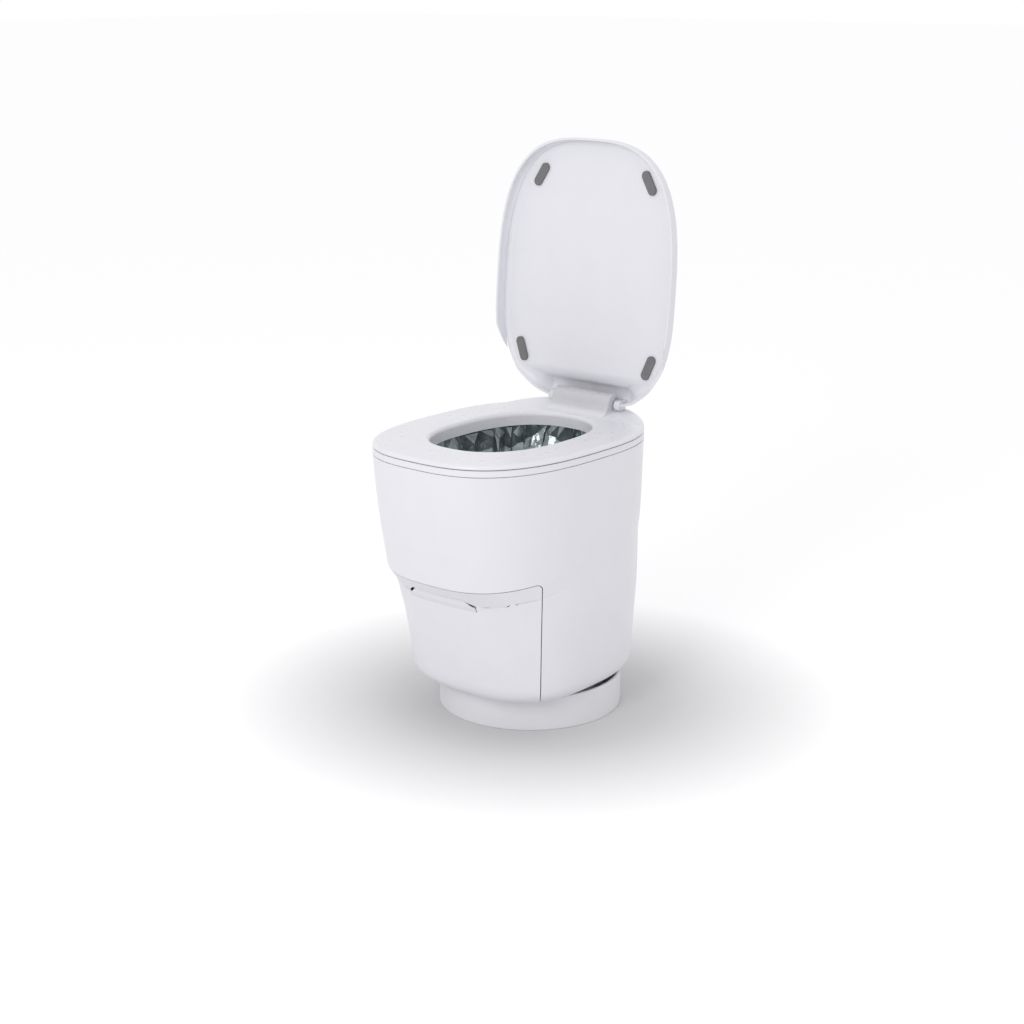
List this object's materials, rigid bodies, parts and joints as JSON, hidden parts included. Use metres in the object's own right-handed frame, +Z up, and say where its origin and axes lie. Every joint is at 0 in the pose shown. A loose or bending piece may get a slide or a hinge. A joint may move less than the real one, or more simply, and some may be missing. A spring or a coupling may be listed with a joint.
{
  "type": "sealing toilet",
  "caption": "Waterless film-sealing toilet on a round swivel base, with a hinged lid and seat, a film liner closed by heated jaws, and a pull-out waste drawer.",
  "frame": {"origin": "on the floor, at the middle of the round floor adapter", "axes": "+Z up, front of the toilet (the drawer) towards -Y, hinge at the rear towards +Y"},
  "size_m": [0.396, 0.4962, 1.008],
  "materials": {
    "white_shell": "white moulded plastic with a soft gloss",
    "white_inner": "white structural plastic",
    "grey_inner": "grey glass-filled plastic",
    "film": "dark glossy liner film",
    "rubber_grey": "dark grey rubber",
    "steel": "plain steel",
    "aluminium": "milled aluminium",
    "brass": "brass",
    "slide_plastic": "self-lubricating slide plastic",
    "board_green": "green circuit board",
    "motor_case": "black painted motor case",
    "heater_foil": "resistance foil",
    "socket_black": "black socket plastic"
  },
  "bodies": {
    "base": {"floor_adapter": "white_shell", "slide_ring": "slide_plastic", "swivel_retainer": "white_inner"},
    "housing": {"main_shell": "white_shell", "bottom_plate": "white_inner", "top_band": "white_shell", "hinge_deck": "white_shell", "hinge_pin": "steel", "pin_caps": "white_inner", "lid_damper": "grey_inner", "seat_damper": "grey_inner", "film_cassette": "white_inner", "film_stack": "film", "bowl_funnel": "grey_inner", "liner_film": "film", "chassis": "grey_inner", "sealer_frame": "aluminium", "fixed_jaw": "aluminium", "heating_strip": "heater_foil", "guide_rods": "steel", "gear_cover": "grey_inner", "jaw_motor": "motor_case", "shaft_bushes": "brass", "feed_motor": "motor_case", "catch_plate": "steel", "control_box": "grey_inner", "control_board": "board_green", "power_inlet": "socket_black", "runner_left": "slide_plastic", "runner_right": "slide_plastic"},
    "seat": {"seat_ring": "white_shell", "seat_buffers": "rubber_grey"},
    "lid": {"lid_shell": "white_shell", "lid_bumpers": "rubber_grey"},
    "drawer": {"drawer_front": "white_shell", "drawer_pull": "white_shell", "waste_tub": "grey_inner", "tub_rail_left": "slide_plastic", "tub_rail_right": "slide_plastic", "catch_magnet": "steel"},
    "jaw": {"moving_jaw": "aluminium", "jaw_pad": "rubber_grey", "jaw_screw": "steel"},
    "nut": {"geared_nut": "brass"},
    "pinion": {"motor_pinion": "steel"},
    "drive_roller": {"drive_shaft": "steel", "drive_wheels": "rubber_grey", "drive_gear": "slide_plastic"},
    "idler_roller": {"idler_shaft": "steel", "idler_wheels": "rubber_grey", "idler_gear": "slide_plastic"}
  },
  "joints": [
    {"name": "swivel", "type": "hinge", "parent": "base", "child": "housing", "pos_m": [0, 0, 0.063], "axis": [0, 0, 1], "range_deg": [-90, 90]},
    {"name": "lid_hinge", "type": "hinge", "parent": "housing", "child": "lid", "pos_m": [0, 0.161, 0.534], "axis": [-1, 0, 0], "range_deg": [-94.7, 0]},
    {"name": "seat_hinge", "type": "hinge", "parent": "housing", "child": "seat", "pos_m": [0, 0.161, 0.534], "axis": [-1, 0, 0], "range_deg": [0, 88]},
    {"name": "drawer_slide", "type": "slide", "parent": "housing", "child": "drawer", "axis": [0, -1, 0], "range_m": [0, 0.26]},
    {"name": "nut_spin", "type": "hinge", "parent": "housing", "child": "nut", "pos_m": [0, 0.054, 0.276], "axis": [0, 1, 0], "range_deg": [0, 3060]},
    {"name": "jaw_slide", "type": "slide", "parent": "housing", "child": "jaw", "axis": [0, -1, 0], "range_m": [0, 0.034]},
    {"name": "pinion_spin", "type": "hinge", "parent": "housing", "child": "pinion", "pos_m": [0.03, 0.054, 0.276], "axis": [0, 1, 0], "range_deg": [-9180, 0]},
    {"name": "feed_spin", "type": "hinge", "parent": "housing", "child": "drive_roller", "pos_m": [0, -0.035, 0.308], "axis": [1, 0, 0], "continuous": true},
    {"name": "idler_spin", "type": "hinge", "parent": "housing", "child": "idler_roller", "pos_m": [0, -0.075, 0.308], "axis": [1, 0, 0], "continuous": true}
  ],
  "couplings": [
    {"joint": "jaw_slide", "follows": "nut_spin", "m_per_rad": 0.00063662},
    {"joint": "pinion_spin", "follows": "nut_spin", "ratio": -3},
    {"joint": "idler_spin", "follows": "feed_spin", "ratio": -1}
  ]
}
